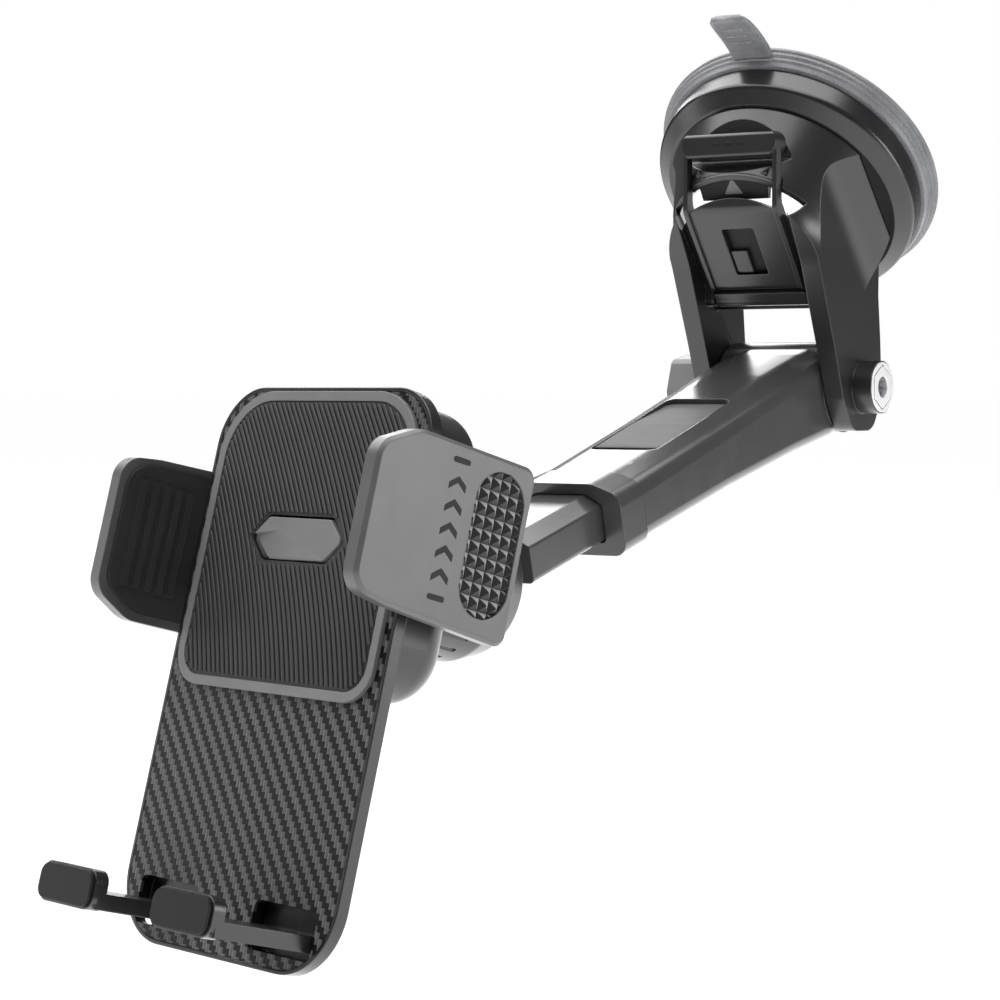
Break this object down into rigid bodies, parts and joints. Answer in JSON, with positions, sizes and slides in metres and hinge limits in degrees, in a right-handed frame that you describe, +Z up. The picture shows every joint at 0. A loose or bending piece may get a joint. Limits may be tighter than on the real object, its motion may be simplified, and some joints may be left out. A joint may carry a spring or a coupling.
{
  "type": "car phone mount",
  "caption": "Suction-cup car phone mount: lever-locked suction base, telescopic pivoting arm, ball joint and a cradle with sliding side jaws and hooked feet.",
  "frame": {"origin": "centre of the suction face, where the gel pad meets the windscreen or dashboard", "axes": "+X along the arm's pivot bolt towards its nut, +Y away from the user, +Z up; the arm runs towards -Y and the suction face looks up and away along (0, 0.729, 0.685)"},
  "size_m": [0.0898, 0.273, 0.2012],
  "materials": {
    "gel": "translucent soft gel",
    "gloss_black": "polished",
    "satin_black": "satin",
    "satin_grey": "satin",
    "pale_liner": "polished white",
    "steel": "turned steel",
    "bright_steel": "plated",
    "matte_black": "fine matte",
    "grey_plastic": "satin",
    "nylon": "natural nylon",
    "carbon": "woven carbon pattern under gloss",
    "black_rubber": "ribbed",
    "grip_rubber": "studded"
  },
  "bodies": {
    "base": {"suction_pad": "gel", "base_ring": "gloss_black", "yoke": "satin_black", "arch_liner": "pale_liner", "lever_pin": "steel", "rod_spring": "pale_liner", "hex_nut": "bright_steel"},
    "lever": {"lock_lever": "satin_black"},
    "rod": {"pull_rod": "pale_liner"},
    "knob_bolt": {"knob": "grey_plastic", "pivot_bolt": "steel"},
    "arm": {"outer_arm": "satin_black", "arm_collar": "gloss_black", "button_spring": "steel"},
    "button": {"arm_button": "grey_plastic"},
    "slider": {"inner_arm": "satin_black", "ball_stud": "matte_black"},
    "tilt": {"ball_liner": "nylon"},
    "pan": {"socket_liner": "nylon"},
    "cradle": {"rear_housing": "satin_black", "cradle_plate": "gloss_black", "carbon_sheet": "carbon", "pad_bezel": "grey_plastic", "ribbed_pad": "black_rubber", "housing_screws": "steel", "key_springs": "steel", "pinion_axle": "steel"},
    "nut": {"ball_nut": "satin_black"},
    "key": {"centre_key": "grey_plastic"},
    "gear": {"pinion": "nylon"},
    "jaw_right": {"clamp_arm_right": "satin_grey", "clamp_pad_right": "black_rubber", "grip_inlay_right": "grip_rubber"},
    "jaw_left": {"clamp_arm_left": "satin_grey", "clamp_pad_left": "black_rubber", "grip_inlay_left": "grip_rubber"},
    "foot": {"foot_bracket": "gloss_black", "foot_pads": "matte_black"}
  },
  "joints": [
    {"name": "lever_flip", "type": "hinge", "parent": "base", "child": "lever", "pos_m": [0, -0.0182, -0.0338], "axis": [1, 0, 0], "range_deg": [0, 50]},
    {"name": "rod_pull", "type": "slide", "parent": "base", "child": "rod", "axis": [0, 0.729, 0.6845], "range_m": [0, 0.003], "deforming": ["rod_spring"]},
    {"name": "knob_turn", "type": "hinge", "parent": "base", "child": "knob_bolt", "pos_m": [0, -0.0048, -0.0572], "axis": [1, 0, 0], "continuous": true},
    {"name": "arm_pivot", "type": "hinge", "parent": "base", "child": "arm", "pos_m": [0, -0.0048, -0.0572], "axis": [1, 0, 0], "range_deg": [-15, 60]},
    {"name": "button_press", "type": "slide", "parent": "arm", "child": "button", "axis": [0, 0.2514, -0.9679], "range_m": [0, 0.0012], "stiffness_N_per_m": 400, "springref_m": -0.002, "deforming": ["button_spring"]},
    {"name": "arm_telescope", "type": "slide", "parent": "arm", "child": "slider", "axis": [0, -0.9679, -0.2514], "range_m": [-0.024, 0.03]},
    {"name": "ball_tilt", "type": "hinge", "parent": "slider", "child": "tilt", "pos_m": [0, -0.1611, -0.0978], "axis": [1, 0, 0], "range_deg": [-2, 50]},
    {"name": "ball_pan", "type": "hinge", "parent": "tilt", "child": "pan", "pos_m": [0, -0.1611, -0.0978], "axis": [0, 0, 1], "range_deg": [-5, 31]},
    {"name": "ball_spin", "type": "hinge", "parent": "pan", "child": "cradle", "pos_m": [0, -0.1611, -0.0978], "axis": [0.217, 0.94, -0.2632], "continuous": true},
    {"name": "nut_turn", "type": "hinge", "parent": "cradle", "child": "nut", "pos_m": [0, -0.1611, -0.0978], "axis": [0.217, 0.94, -0.2632], "continuous": true},
    {"name": "key_press", "type": "slide", "parent": "cradle", "child": "key", "axis": [0.217, 0.94, -0.2632], "range_m": [0, 0.0013], "stiffness_N_per_m": 300, "springref_m": -0.002, "deforming": ["key_springs"]},
    {"name": "jaw_right_slide", "type": "slide", "parent": "cradle", "child": "jaw_right", "axis": [0.9744, -0.225, 0], "range_m": [-0.003, 0.012]},
    {"name": "jaw_left_slide", "type": "slide", "parent": "cradle", "child": "jaw_left", "axis": [-0.9744, 0.225, 0], "range_m": [-0.0032, 0.0122]},
    {"name": "pinion_spin", "type": "hinge", "parent": "cradle", "child": "gear", "pos_m": [-0.00651, -0.1893, -0.0899], "axis": [0.217, 0.94, -0.2632], "range_deg": [-36, 140]},
    {"name": "foot_slide", "type": "slide", "parent": "cradle", "child": "foot", "axis": [0.0592, 0.2565, 0.9647], "range_m": [-0.001, 0.004]}
  ],
  "couplings": [
    {"joint": "lever_flip", "follows": "rod_pull", "rad_per_m": 290.88},
    {"joint": "jaw_left_slide", "follows": "jaw_right_slide", "ratio": 1},
    {"joint": "pinion_spin", "follows": "jaw_right_slide", "rad_per_m": 200}
  ]
}
